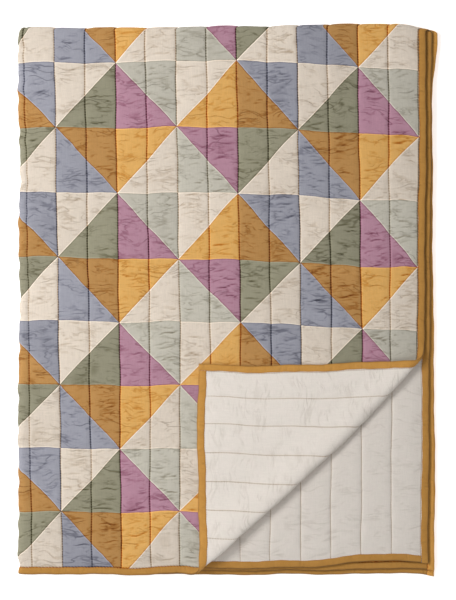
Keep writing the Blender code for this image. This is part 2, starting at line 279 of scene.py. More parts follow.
@dataclass(frozen=True)
class Quilt:
    """The flat bedspread's own sizes, in metres."""

    patch_width: float = 0.120
    patch_height: float = 0.1266
    right: float = 0.7360
    left: float = -0.897
    half_length: float = 1.0736
    quilting_pitch: float = 0.060
    crown: float = 0.0030
    stitch_dip: float = 0.0013
    stitch_pitch: float = 0.0050
    hem_pitch: float = 0.0065
    binding_width: float = 0.0145
    binding_half: float = 0.0024
    rim_half: float = 0.0009
    rim_inset: float = 0.0015
    crown_inset: float = 0.0415
    hem_gap: float = 0.001

    @property
    def size(self) -> tuple[float, float]:
        """The whole cloth's width and length."""
        return self.right - self.left, 2 * self.half_length

    def crown_share(self, from_edge: Array) -> Array:
        """How far the padding has risen at a distance from the edge, from 0 beside the binding to 1."""
        rise = (from_edge - self.binding_width - self.hem_gap) / (self.crown_inset - self.binding_width)
        return np.sin(np.clip(rise, 0.0, 1.0) * math.pi / 2)


@dataclass(frozen=True)
class Folding:
    """How the cloth is folded: the top fold, the left one round it, and the corner turned back."""

    quilt: Quilt = Quilt()
    layer_pitch: float = 0.0070
    left_bend_x: float = -0.4020
    centre: tuple[float, float] = (-0.00055, -0.00154)
    outer_fold: tuple[float, float] = (-0.0735, -0.0170)
    inner_fold: tuple[float, float] = (-0.0750, 0.0050)
    right_drift_from: float = 0.620
    left_drift_from: float = -0.300
    drifts: tuple = (
        # each layer's sideways shift and the length that it takes, from the top layer down
        (-0.0125, 0.700),
        (-0.0020, 1.0736),
        (-0.0110, 0.160),
        (0.0205, 1.0736),
    )
    lower_from: float = 0.550
    lower_draw: float = -0.0085
    lower_draw_width: float = 0.300
    corner_cloth: tuple[float, float] = (0.4993, -0.8571)
    corner_plan: tuple[float, float] = (0.1625, -0.3427)
    corner_angle: float = math.radians(-44.6)
    corner_from: tuple[float, float] = (0.18, -0.50)
    roll_pressed: float = 0.65
    flap_settle: float = 5.5
    top_corner_round: float = 0.013
    left_outermost: float = 0.0135
    top_crest: float = 0.5385
    ripples: tuple = (
        # height, length and phase of the left fold's ripples
        (0.0009, 0.054, 0.0),
        (0.0007, 0.033, 1.0),
    )
    sway_width: float = 0.060
    ripple_width: float = 0.035
    tight_before: float = 0.004
    tight_width: float = 0.012

    @property
    def hairpin(self) -> float:
        """The top fold's radius at the cloth's middle."""
        return self.layer_pitch / 2

    def left_fold(self, v: Array, outer_share: Array) -> Array:
        """Where the left fold crosses the cloth.

        Args:
            v: places along the cloth.
            outer_share: 1 on the outer layers and 0 on the inner ones.

        Returns:
            The fold's u at each place.
        """
        along = np.abs(v) / self.quilt.half_length
        outer = self.outer_fold[0] + self.outer_fold[1] * along
        inner = self.inner_fold[0] + self.inner_fold[1] * along
        return inner + (outer - inner) * outer_share

    def top_turn(self, u: Array, v: Array) -> Array:
        """The angle turned over the top fold at each place, from 0 on the outer layers to half a turn."""
        down = read_table(TOP_FOLD, 2, u) - v
        return np.clip(math.pi / 2 - down / self.hairpin, 0.0, math.pi)

    def lead(self, u: Array, v: Array) -> Array:
        """How far right of the left fold each place lies on the cloth."""
        return u - self.left_fold(v, (1.0 + np.cos(self.top_turn(u, v))) / 2)

    def lower_part(self, v: Array) -> Array:
        """From 0 in the upper part of a layer to 1 at its open end."""
        return ease((np.abs(v) - self.lower_from) / (self.quilt.half_length - self.lower_from))

    def drift(self, u: Array, v: Array) -> Array:
        """How far the cloth drifts sideways near its open edges.

        Args:
            u: places across the cloth.
            v: places along the cloth.

        Returns:
            The sideways shift of each place.
        """
        quilt = self.quilt
        right = ease((u - self.right_drift_from) / (quilt.right - self.right_drift_from))
        left = ease((u - self.left_drift_from) / (quilt.left - self.left_drift_from))
        first, second, third, fourth = (shift * ease(np.abs(v) / length) for shift, length in self.drifts)
        upper = np.where(v < 0.0, first, second)
        lower = np.where(v < 0.0, fourth, third)
        drawn = ease(u / self.lower_draw_width) * np.where(v < 0.0, self.lower_part(v), 0.0)
        return right * upper + left * lower + self.lower_draw * drawn

    def past_roll(self, u: Array, v: Array) -> Array:
        """How far a place on the cloth lies past the roll of the turned corner."""
        across = math.cos(self.corner_angle) * (u - self.corner_cloth[0])
        return across + math.sin(self.corner_angle) * (v - self.corner_cloth[1])

    def turn_corner(self, u: Array, v: Array, w: Array, x: Array, y: Array, z: Array) -> tuple:
        """Turns the top layer's corner back over its diagonal roll.

        Args:
            u: places across the cloth.
            v: places along the cloth.
            w: heights over the cloth's middle.
            x: their places on the plan before the corner is turned.
            y: as x, along the bundle.
            z: their heights before the corner is turned.

        Returns:
            The new x, y and z.
        """
        normal = (math.cos(self.corner_angle), math.sin(self.corner_angle))
        past = self.past_roll(u, v)
        east, north = x - self.corner_plan[0], y - self.corner_plan[1]
        plan_past = normal[0] * east + normal[1] * north
        plan_along = -normal[1] * east + normal[0] * north
        shift = read_table(ROLL_SHAPE, 1, plan_along)
        radius = read_table(ROLL_SHAPE, 2, plan_along)
        start = shift - math.pi * radius / 2
        turn = np.clip((past - start) / radius, 0.0, math.pi)
        after = np.maximum(past - start - math.pi * radius, 0.0)
        pressed = radius * self.roll_pressed
        settled = (2 * pressed - self.layer_pitch) * ease(after / (self.flap_settle * radius))
        place = np.minimum(past, start) + radius * np.sin(turn) - after
        place += (plan_past - past) * np.cos(turn) - w * np.sin(turn)
        height = pressed * (1.0 - np.cos(turn)) - settled
        turned = (u > self.corner_from[0]) & (v < self.corner_from[1])
        new_x = np.where(turned, x + normal[0] * (place - plan_past), x)
        new_y = np.where(turned, y + normal[1] * (place - plan_past), y)
        new_z = np.where(turned, z - w + height + w * np.cos(turn), z)
        return new_x, new_y, new_z

    def settle(self, x: Array, y: Array) -> tuple[Array, Array]:
        """Gives the laid cloth the small unevenness of folding by hand.

        Args:
            x: places on the plan.
            y: as x, along the bundle.

        Returns:
            The new x and y.
        """
        from_left = np.maximum(x - (self.left_bend_x - self.left_outermost), 0.0)
        down = np.maximum(self.top_crest - y, 0.0)
        ripple = sum(high * np.sin(2 * math.pi * y / length + phase) for high, length, phase in self.ripples)
        sway = read_table(LEFT_SWAY, 1, down) * ease(1.0 - from_left / self.sway_width)
        sway = sway + ripple * ease(1.0 - from_left / self.ripple_width)
        radius = self.top_corner_round
        inside = np.clip((radius - from_left) / radius, 0.0, 1.0)
        drop = radius * (1.0 - np.sqrt(1.0 - inside**2)) * ease(1.0 - down / (4 * radius))
        new_x = x + sway + 0.0007 * np.sin(2 * math.pi * (y / 0.29 + x / 0.17))
        new_x += 0.0004 * np.sin(2 * math.pi * (y / 0.11 - x / 0.13))
        new_y = y - drop + 0.0009 * np.sin(2 * math.pi * (x / 0.19 + y / 0.40))
        new_y += 0.0006 * np.cos(2 * math.pi * x / 0.12)
        return new_x, new_y

    def place(self, u: Array, v: Array, w: Array) -> Array:
        """Carries cloth points into their place in the folded bundle.

        Args:
            u: places across the cloth.
            v: places along the cloth.
            w: heights over the cloth's middle.

        Returns:
            One row of x, y and z for each point.
        """
        crest, pull, bow, outer_reach, inner_reach = (read_table(TOP_FOLD, n, u) for n in range(1, 6))
        turn = self.top_turn(u, v)
        straight = np.maximum(np.abs(pull - v) - math.pi * self.hairpin / 2, 0.0)
        y = crest - self.hairpin - self.quilt.crown + (self.hairpin + w) * np.sin(turn) - straight
        sag = bow * read_table(ROW_BOW, 1, np.abs(v)) + outer_reach * self.lower_part(v)
        y -= np.where(v < 0.0, sag, inner_reach * ease(v / self.quilt.half_length))
        offset = (self.hairpin + w) * np.cos(turn)
        lead = self.lead(u, v)
        half_arc = math.pi / 2 * (self.layer_pitch + self.hairpin * np.cos(turn))
        round_left = np.clip(math.pi / 2 * (1.0 - lead / half_arc), 0.0, math.pi)
        bend = self.layer_pitch + offset
        x = self.left_bend_x + np.maximum(np.abs(lead) - half_arc, 0.0) - bend * np.sin(round_left)
        z = self.layer_pitch + self.hairpin + self.quilt.crown + bend * np.cos(round_left)
        x = x + self.drift(u, v)
        x, y, z = self.turn_corner(u, v, w, x, y, z)
        x, y = self.settle(x, y)
        return np.column_stack((x - self.centre[0], y - self.centre[1], z))


@dataclass(frozen=True)
class Crease:
    """One pucker of the cloth: a narrow trough with a soft ridge below it. Sizes in metres."""

    u: float
    v: float
    length: float
    width: float
    depth: float
    tilt: float
    bend: float = 0.0
    wave: float = 0.0
    phase: float = 0.0

    def press(self, relief: Array, us: Array, vs: Array) -> None:
        """Presses the crease into the part of a relief that it reaches.

        Args:
            relief: heights, one row for each of vs.
            us: the relief's places across.
            vs: the relief's places along.
        """
        half = self.length / 2
        reach_u = half * abs(math.cos(self.tilt)) + 3 * self.width
        reach_v = half * abs(math.sin(self.tilt)) + 4 * self.width + abs(self.bend) + self.wave
        first, last = np.searchsorted(us, (self.u - reach_u, self.u + reach_u))
        low, high = np.searchsorted(vs, (self.v - reach_v, self.v + reach_v))
        if first == last or low == high:
            return
        east = us[first:last][None, :] - self.u
        north = vs[low:high][:, None] - self.v
        along = (east * math.cos(self.tilt) + north * math.sin(self.tilt)) / half
        across = north * math.cos(self.tilt) - east * math.sin(self.tilt) - self.bend * along**2
        across = across - self.wave * np.sin(5.0 * along + self.phase)
        window = np.clip(1.0 - along**2, 0.0, 1.0) ** 2
        s = across / self.width
        shape = 0.45 * np.exp(-((s + 1.7) ** 2)) - np.exp(-(s**2))
        relief[low:high, first:last] += self.depth * window * shape


@dataclass(frozen=True)
class Relief:
    """The relief of one face of the quilt: its quilted lanes, rims, puckers and creases.

    us and vs are the places across and along the cloth, in order, where it is worked out.
    """

    folding: Folding
    face: Face
    us: Array
    vs: Array
    seed: int
    puckers: int
    strength: float
    cleft: float = 0.0009
    cleft_width: float = 0.0011
    pillow: float = 0.0055
    narrowest: float = 0.0009
    line_width: float = 0.0035
    lift: float = 0.0002
    lanes: int = 13
    pucker_halves: tuple[float, float] = (0.005, 0.026)
    pucker_start: float = 0.005
    pucker_depths: tuple[float, float] = (0.30, 1.15)
    pucker_tilts: tuple[float, float] = (4.0, 17.0)
    bend_reach: float = 2.5
    wave_reach: float = 1.3
    blob_count: int = 700
    blob_sizes: tuple[float, float] = (0.010, 0.024)
    blob_lift: float = 0.35
    main_width: float = 0.0014
    main_strength: float = 2.0

    def pucker_list(self) -> list[Crease]:
        """The small puckers that the quilting draws up, most of them square to its lines.

        Returns:
            The puckers, the same at each run.
        """
        pitch = self.folding.quilt.quilting_pitch
        dice = np.random.default_rng(self.seed)
        swells = dice.uniform(0.0, 2 * math.pi, (4, 2))
        made = []
        for _ in range(self.puckers):
            lane = dice.integers(math.floor(self.us[0] / pitch), self.lanes)
            side = dice.choice((-1.0, 1.0))
            half = dice.uniform(*self.pucker_halves)
            start = lane * pitch + side * (half + abs(dice.normal(0.0, self.pucker_start)))
            v = dice.uniform(self.vs[0], self.vs[-1])
            rightward = np.clip((start + 0.1) / 0.8, 0.0, 1.0)
            gathered = math.sin(start * 31.0 + swells[0, 0]) * math.sin(v * 23.0 + swells[0, 1])
            gathered += math.sin(start * 57.0 + swells[1, 0] + 3.0 * v) * math.sin(v * 41.0 + swells[1, 1])
            force = np.clip(0.75 + 0.45 * gathered, 0.15, 1.5) * (0.75 + 0.45 * rightward)
            depth = dice.uniform(*self.pucker_depths) * MM * force * self.strength
            width = dice.uniform(self.narrowest, 2.3 * self.narrowest)
            tilt = math.radians(dice.normal(*self.pucker_tilts))
            bend = dice.uniform(-self.bend_reach, self.bend_reach) * MM
            wave = dice.uniform(0.0, self.wave_reach) * MM
            phase = dice.uniform(0.0, 2 * math.pi)
            made.append(Crease(start, v, 2 * half, width, depth, tilt, bend, wave, phase))
        return made

    def main_creases(self) -> list[Crease]:
        """The creases that are placed one by one."""
        width, made = self.main_width, []
        for across, down, length, tilt, depth in MAIN_CREASES if self.face is Face.FRONT else BACK_CREASES:
            size = (length / 100, width, self.main_strength * depth * MM)
            made.append(Crease(across / 100, -down / 100, *size, math.radians(tilt), 0.0, width, down))
        return made

    def blobs(self) -> Array:
        """The wadding's own soft unevenness, as a height for each place."""
        us, vs = self.us, self.vs
        dice = np.random.default_rng(self.seed + 1)
        height = np.zeros((len(vs), len(us)))
        for _ in range(self.blob_count):
            u, v = dice.uniform(us[0], us[-1]), dice.uniform(vs[0], vs[-1])
            size, lift = dice.uniform(*self.blob_sizes), dice.uniform(-self.blob_lift, self.blob_lift) * MM
            first, last = np.searchsorted(us, (u - 3 * size, u + 3 * size))
            low, high = np.searchsorted(vs, (v - 3 * size, v + 3 * size))
            east = (us[first:last][None, :] - u) / size
            north = (vs[low:high][:, None] - v) / size
            height[low:high, first:last] += lift * np.exp(-(east**2) - north**2)
        return height

    def heights(self) -> tuple[Array, Array]:
        """Heights of the face over the cloth's middle.

        Returns:
            The height of each place, one row for each of vs, and the part of it that is puckers.
        """
        quilt, folding = self.folding.quilt, self.folding
        u, v = np.meshgrid(self.us, self.vs)
        line = np.abs((u / quilt.quilting_pitch + 0.5) % 1.0 - 0.5) * quilt.quilting_pitch
        pucker = self.blobs() * self.strength
        for crease in (*self.pucker_list(), *(self.main_creases() if self.puckers else ())):
            crease.press(pucker, self.us, self.vs)
        pucker *= 1.0 - np.exp(-((line / self.line_width) ** 2))
        pillow = 1.0 - np.exp(-line / self.pillow)
        top = quilt.stitch_dip + (quilt.crown + self.lift - quilt.stitch_dip) * pillow
        top -= self.cleft * np.exp(-((line / self.cleft_width) ** 2))
        loose = ease((folding.lead(u, v) + folding.tight_before) / folding.tight_width)
        height = quilt.crown + (top + pucker - quilt.crown) * loose
        from_edge = np.minimum(np.minimum(quilt.right - u, u - quilt.left), quilt.half_length - np.abs(v))
        share = quilt.crown_share(from_edge)
        return quilt.rim_half + (height - quilt.rim_half) * share, pucker * loose * share

    def sheets(self, parts: dict[str, slice], keep: Array | None = None) -> list[bpy.types.Object]:
        """Builds the face as one sheet of cloth or more.

        Args:
            parts: the rows of each sheet, by its name.
            keep: which faces of the grid to keep, where not all of them.

        Returns:
            The sheets.
        """
        heights, pucker = self.heights()
        made = []
        for name, rows in parts.items():
            u, v = (grid.ravel() for grid in np.meshgrid(self.us, self.vs[rows]))
            points = self.folding.place(u, v, self.face.value * heights[rows].ravel())
            faces = grid_faces(len(self.vs[rows]), len(self.us), self.face is Face.BACK, keep)
            made.append(make_mesh(name, points, faces, np.column_stack((u, v)), relief=pucker[rows].ravel()))
        return made


def lane_places(first: float, last: float, pitch: float) -> Array:
    """Places across the cloth, close together at the quilting lines.

    Args:
        first: where they start.
        last: where they end.
        pitch: the distance between quilting lines.

    Returns:
        The places in order.
    """
    near = (0.0, 1.2, 3.0, 6.0, 10.5, 16.0, 22.5)
    offsets = sorted({side * step * MM for step in near for side in (-1, 1)} | {pitch / 2})
    lines = np.arange(math.floor(first / pitch) - 1, math.ceil(last / pitch) + 2) * pitch
    places = (lines[:, None] + np.array(offsets)[None, :]).ravel()
    kept = places[(places > first + 0.6 * MM) & (places < last - 0.6 * MM)]
    return np.concatenate(([first], kept, [last]))


def spaced(*stops: tuple[float, float]) -> Array:
    """Places from stop to stop, each stop with the step that leads on from it.

    Args:
        stops: pairs of a place and the step to the next one.

    Returns:
        The places in order, each stop among them.
    """
    parts = []
    for (start, step), (end, _) in zip(stops, stops[1:]):
        count = max(1, round((end - start) / step))
        parts.append(np.linspace(start, end, count, endpoint=False))
    return np.concatenate((*parts, [stops[-1][0]]))


def make_mesh(name: str, points: Array, faces: Array, cloth: Array, **values: Array) -> bpy.types.Object:
    """Makes a smooth object that keeps its cloth coordinates, and values for its finish.

    Args:
        name: the piece's name.
        points: one row of x, y and z for each vertex.
        faces: rows of four vertex numbers.
        cloth: one row of u and v for each vertex.
        values: a value for each vertex, by the name that it is kept under.

    Returns:
        The object, linked to the scene.
    """
    used, faces = np.unique(faces, return_inverse=True)
    faces = faces.reshape(-1, 4)
    mesh = bpy.data.meshes.new(name)
    mesh.from_pydata(points[used].tolist(), [], faces.tolist())
    layer = mesh.uv_layers.new(name="cloth")
    layer.data.foreach_set("uv", cloth[used][faces.ravel()].astype(np.float32).ravel())
    for key, value in values.items():
        attribute = mesh.attributes.new(key, "FLOAT", "POINT")
        attribute.data.foreach_set("value", value[used].astype(np.float32))
    mesh.shade_smooth()
    mesh.update()
    obj = bpy.data.objects.new(name, mesh)
    bpy.context.scene.collection.objects.link(obj)
    return obj


def grid_faces(rows: int, columns: int, flip: bool, keep: Array | None = None) -> Array:
    """The faces of a grid of vertices.

    Args:
        rows: how many rows of vertices there are.
        columns: how many vertices a row has.
        flip: whether the faces look the other way.
        keep: which faces to keep, one row for each row of faces.

    Returns:
        One row of four vertex numbers for each face.
    """
    index = np.arange(rows * columns).reshape(rows, columns)
    corners = (index[:-1, :-1], index[:-1, 1:], index[1:, 1:], index[1:, :-1])
    faces = np.stack(corners[::-1] if flip else corners, axis=-1)
    return faces.reshape(-1, 4) if keep is None else faces[keep]


class Signal:
    """A node's output socket that takes part in Python expressions."""

    def __init__(self, board: "Board", socket: bpy.types.NodeSocket) -> None:
        """Keeps the socket and the board whose nodes it belongs to."""
        self.board = board
        self.socket = socket

    def __add__(self, other: Any) -> "Signal":
        """The sum with a number or another signal."""
        return self.board.combine("ADD", self, other)

    def __radd__(self, other: Any) -> "Signal":
        """The sum with a number before it."""
        return self.board.combine("ADD", other, self)

    def __sub__(self, other: Any) -> "Signal":
        """The difference from a number or another signal."""
        return self.board.combine("SUBTRACT", self, other)

    def __rsub__(self, other: Any) -> "Signal":
        """A number less this signal."""
        return self.board.combine("SUBTRACT", other, self)

    def __mul__(self, other: Any) -> "Signal":
        """The product with a number or another signal."""
        return self.board.combine("MULTIPLY", self, other)

    def __rmul__(self, other: Any) -> "Signal":
        """The product with a number before it."""
        return self.board.combine("MULTIPLY", other, self)

    def __truediv__(self, other: Any) -> "Signal":
        """The quotient by a number or another signal."""
        return self.board.combine("DIVIDE", self, other)

    def __rtruediv__(self, other: Any) -> "Signal":
        """A number over this signal."""
        return self.board.combine("DIVIDE", other, self)

    def __neg__(self) -> "Signal":
        """The signal with its sign turned."""
        return self.board.combine("MULTIPLY", self, -1.0)

    def math(self, operation: str, *others: Any) -> "Signal":
        """Another operation of the Math node, with the values or signals of its further sockets."""
        inputs = dict(enumerate((self, *others)))
        return self.board.node("ShaderNodeMath", {"operation": operation}, inputs)

    def floor(self) -> "Signal":
        """The whole part."""
        return self.math("FLOOR")

    def fraction(self) -> "Signal":
        """What is left over the whole part."""
        return self.math("FRACT")

    def size(self) -> "Signal":
        """The value without its sign."""
        return self.math("ABSOLUTE")

    def wrapped(self, count: float) -> "Signal":
        """The rest after division by a count, never below 0."""
        return self.math("FLOORED_MODULO", count)

    def at_most(self, other: Any) -> "Signal":
        """The smaller of two values."""
        return self.math("MINIMUM", other)

    def at_least(self, other: Any) -> "Signal":
        """The larger of two values."""
        return self.math("MAXIMUM", other)

    def above(self, limit: Any) -> "Signal":
        """1 where the value is over a limit, else 0."""
        return self.math("GREATER_THAN", limit)

    def bell(self, width: float) -> "Signal":
        """1 at zero, falling off smoothly to both sides within a width."""
        scaled = self * (1.0 / width)
        return (scaled * scaled * -1.0).math("EXPONENT")

    def rising(self, low: float, high: float) -> "Signal":
        """A smooth step from 0 at low to 1 at high."""
        settings = {"interpolation_type": "SMOOTHSTEP"}
        inputs = {"Value": self, "From Min": low, "From Max": high}
        return self.board.node("ShaderNodeMapRange", settings, inputs)

    def beat(self, pitch: float, depth: float) -> "Signal":
        """A regular beat along the value, from 1 down by twice a depth."""
        return (self * (2 * math.pi / pitch)).math("SINE") * depth + (1.0 - depth)

    def deeper(self, shade: Any) -> "Signal":
        """This colour, deeper in tone by a shade."""
        return self.board.node("ShaderNodeGamma", None, {"Color": self, "Gamma": 1.0 + shade})


class Board:
    """A material's node tree, to which expressions add their nodes."""

    def __init__(self, name: str) -> None:
        """Makes a new material with its Principled shader."""
        self.material = bpy.data.materials.new(name)
        self.material.use_nodes = True
        self.tree = self.material.node_tree
        self.shader = self.tree.nodes["Principled BSDF"]

    def feed(self, socket: bpy.types.NodeSocket, value: Any) -> None:
        """Links a signal to a socket, or sets the socket's own value.

        Args:
            socket: the input socket.
            value: a signal, a number or a colour.
        """
        if isinstance(value, Signal):
            self.tree.links.new(value.socket, socket)
        elif socket.type == "RGBA" and isinstance(value, (int, float)):
            socket.default_value = (value, value, value, 1.0)
        else:
            socket.default_value = value

    def node(self, kind: str, settings: dict | None, inputs: dict, output: Any = 0) -> Signal:
        """Adds a node.

        Args:
            kind: the node's type.
            settings: its own settings, if any.
            inputs: values or signals by the name or number of their sockets.
            output: the name or number of the output that is wanted.

        Returns:
            The output as a signal.
        """
        made = self.tree.nodes.new(kind)
        for name, value in (settings or {}).items():
            setattr(made, name, value)
        for key, value in inputs.items():
            self.feed(made.inputs[key], value)
        return Signal(self, made.outputs[output])

    def pick(self, colours: list | tuple, number: Signal) -> Signal:
        """Picks a colour from a list.

        Args:
            colours: linear colours, or whole numbers for greys.
            number: the place in the list, from 0.

        Returns:
            The colour.
        """
        count = len(colours)
        picked = self.node("ShaderNodeValToRGB", None, {0: (number + 0.5) * (1 / count)})
        ramp = picked.socket.node.color_ramp
        ramp.interpolation = "CONSTANT"
        while len(ramp.elements) < count:
            ramp.elements.new(0.5)
        for index, (element, colour) in enumerate(zip(ramp.elements, colours)):
            element.position = index / count
            element.color = (colour, colour, colour, 1.0) if isinstance(colour, int) else colour
        return picked

    def combine(self, operation: str, first: Any, second: Any) -> Signal:
        """Joins two values with the node that suits them.

        Args:
            operation: ADD, SUBTRACT, MULTIPLY or DIVIDE.
            first: a signal or a number.
            second: a signal or a number.

        Returns:
            The result.
        """
        kinds = {value.socket.type for value in (first, second) if isinstance(value, Signal)}
        if "RGBA" in kinds:
            return self.mix(operation, first, second, 1.0)
        return self.node("ShaderNodeMath", {"operation": operation}, {0: first, 1: second})

    def mix(self, blend: str, first: Any, second: Any, share: Any) -> Signal:
        """Mixes two colours.

        Args:
            blend: the Mix node's blend.
            first: the colour underneath.
            second: the colour on top.
            share: how much of the top one there is.

        Returns:
            The mixed colour.
        """
        settings = {"data_type": "RGBA", "blend_type": blend}
        return self.node("ShaderNodeMix", settings, {0: share, 6: first, 7: second}, 2)

    def at(self, x: Any, y: Any, z: Any = 0.0) -> Signal:
        """A vector of three values."""
        return self.node("ShaderNodeCombineXYZ", None, {0: x, 1: y, 2: z})

    def noise(self, place: Signal, detail: float = 2.0, roughness: float = 0.5) -> Signal:
        """Smooth noise about zero, from about -0.5 to 0.5.

        Args:
            place: where it is read, in its own grains.
            detail: how many finer layers it has.
            roughness: how strong the finer layers are.

        Returns:
            The noise.
        """
        inputs = {"Vector": place, "Scale": 1.0, "Detail": detail, "Roughness": roughness}
        return self.node("ShaderNodeTexNoise", None, inputs, "Fac") - 0.5

    def finish(self, values: dict[str, Any]) -> bpy.types.Material:
        """Feeds the shader's own sockets and returns the material."""
        for name, value in values.items():
            self.feed(self.shader.inputs[name], value)
        return self.material


class ClothBoard(Board):
    """The board of a cloth, with the cloth's own u and v, in metres."""

    def __init__(self, name: str) -> None:
        """Makes the material and reads the cloth coordinates."""
        super().__init__(name)
        place = self.node("ShaderNodeUVMap", {"uv_map": "cloth"}, {})
        self.u, self.v = (self.node("ShaderNodeSeparateXYZ", None, {0: place}, axis) for axis in "XY")

    def attribute(self, name: str) -> Signal:
        """A value that the mesh keeps at each vertex."""
        return self.node("ShaderNodeAttribute", {"attribute_name": name}, {}, "Fac")

    def relief(self) -> Signal:
        """The relief that the mesh keeps, in millimetres."""
        return self.attribute("relief") * 1000.0

    def grain(
        self, across: float, along: float, seed: float = 0.0, detail: float = 2.0, rough: float = 0.5
    ) -> Signal:
        """Smooth noise on the cloth, about zero.

        Args:
            across: how many grains a metre has across the cloth.
            along: how many it has along the cloth.
            seed: where the noise is cut, so that no two patterns are the same.
            detail: how many finer layers it has.
            rough: how strong the finer layers are.

        Returns:
            The noise.
        """
        return self.noise(self.at(self.u * across, self.v * along, seed), detail, rough)

    def cotton(self, colour: Signal, rough: float, height: Signal, sheen: float) -> bpy.types.Material:
        """Finishes the cloth as a cotton.

        Args:
            colour: the base colour.
            rough: the roughness.
            height: the fine relief, in metres.
            sheen: the strength of the fibres' sheen.

        Returns:
            The finished material.
        """
        normal = self.node("ShaderNodeBump", None, {"Strength": 1.0, "Distance": 1.0, "Height": height})
        values = {"Base Color": colour, "Roughness": rough, "Normal": normal}
        return self.finish({**values, "Sheen Weight": sheen, "Specular IOR Level": 0.25})

    def twist(self) -> Signal:
        """The fine twist of a thread."""
        return self.grain(900.0, 2600.0, detail=0.0)

    def thread(self, colour: Signal, twist: Signal) -> bpy.types.Material:
        """Finishes the board as a cotton thread of a colour."""
        return self.cotton(colour, 0.85, twist * 0.0001, 0.05)


@dataclass(frozen=True)
class Weave:
    """The threads of a plain woven cotton: a thread's width and how far its slubs run, in metres."""

    thread: float = 0.0009
    slub: float = 0.011
    tone: float = 0.16
    lift: float = 0.00016
    streak: float = 0.0024
    streak_tone: float = 0.9
    streaks_along: float = 32.0

    def threads(self, board: ClothBoard) -> Signal:
        """Uneven threads both ways.

        Args:
            board: the material's board.

        Returns:
            A value about zero, from about -0.5 to 0.5.
        """
        thread, slub, streak, run = 1 / self.thread, 1 / self.slub, 1 / self.streak, self.streaks_along
        plain = board.grain(thread, slub, detail=1.0) + board.grain(slub, thread, 7.0, 1.0)
        streaked = board.grain(streak, run, 13.0, 1.0) + board.grain(run, streak, 17.0, 1.0) * 0.6
        return plain + streaked * self.streak_tone


@dataclass(frozen=True)
class QuiltingGroove:
    """The painted shade in the groove of a quilting line, beaded by its stitches, and the painted highlight
    on its far side.
    """

    quilt: Quilt = Quilt()
    dark_width: float = 0.0011
    highlight_width: float = 0.0010
    beads: float = 0.34
    wander: float = 0.0016
    shade_offset: float = 0.0002
    highlight_offset: float = 0.0020

    def shade(self, board: ClothBoard) -> tuple[Signal, Signal]:
        """Where the groove is dark with painted shade and where its far side gets a painted highlight.

        Args:
            board: the material's board.

        Returns:
            The share of painted shade and the share of painted highlight.
        """
        lane = board.u * (1 / self.quilt.quilting_pitch) + 0.5
        sway = board.grain(11.0, 40.0, 3.0, 1.0) * self.wander
        across = (lane.fraction() - 0.5) * self.quilt.quilting_pitch + sway
        number = lane.floor()
        strength = board.noise(board.at(number * 3.7, board.v * 3.0, 1.5), 1.0) * 1.1 + 1.0
        by_fold = 1.0 - (-0.5 - number).rising(0.0, 1.0) * (board.v * -1.0).rising(0.0, 0.05) * 0.6
        patchy = (board.grain(9.0, 60.0) * 0.9 + 1.0) * strength * by_fold
        beat = board.v.beat(self.quilt.stitch_pitch, self.beads)
        # Painted shade in the groove, beaded by the stitches, and a painted highlight on its far side.
        dark = (across + self.shade_offset).bell(self.dark_width) * beat * patchy
        return dark, (across - self.highlight_offset).bell(self.highlight_width) * patchy


@dataclass(frozen=True)
class FinePuckers:
    """Thin wavy puckers that run square to the quilting lines, patchy as they are on washed cotton."""

    long_run: float = 0.060
    long_gap: float = 0.0140
    short_run: float = 0.027
    short_gap: float = 0.0085
    core: float = 0.027
    turning: float = 0.032
    trough_from: float = 0.14

    def lines(self, board: ClothBoard) -> Signal:
        """Where the puckers' thin troughs run.

        Args:
            board: the material's board.

        Returns:
            From 0 between the puckers to 1 in their troughs.
        """
        turned = board.v + board.grain(17.0, 17.0, 31.0, 1.0) * self.turning
        long_place = board.at(board.u * (1 / self.long_run), turned * (1 / self.long_gap), 11.0)
        short_place = board.at(board.u * (1 / self.short_run), turned * (1 / self.short_gap), 23.0)
        long_ones = board.noise(long_place, 2.0, 0.45).bell(self.core)
        short_ones = board.noise(short_place, 1.5, 0.45).bell(self.core * 1.3)
        here = board.grain(20.0, 33.0, 4.0, 1.5).rising(-0.04, 0.16)
        there = board.grain(26.0, 38.0, 14.0, 1.5).rising(-0.03, 0.18)
        return (long_ones * here).at_least(short_ones * there * 0.8)

    def wrinkles(self, board: ClothBoard) -> tuple[Signal, Signal, Signal, Signal]:
        """All that wrinkles the cotton.

        Args:
            board: the material's board.

        Returns:
            The cotton's fine crinkle, the thin puckers, and the troughs and ridges of the mesh's own relief.
        """
        crinkle = board.grain(85.0, 260.0, 9.0, 2.0, 0.6)
        relief = board.relief()
        trough = (relief * -1.0 - self.trough_from).at_least(0.0)
        return crinkle, self.lines(board), trough, relief.at_least(0.0)


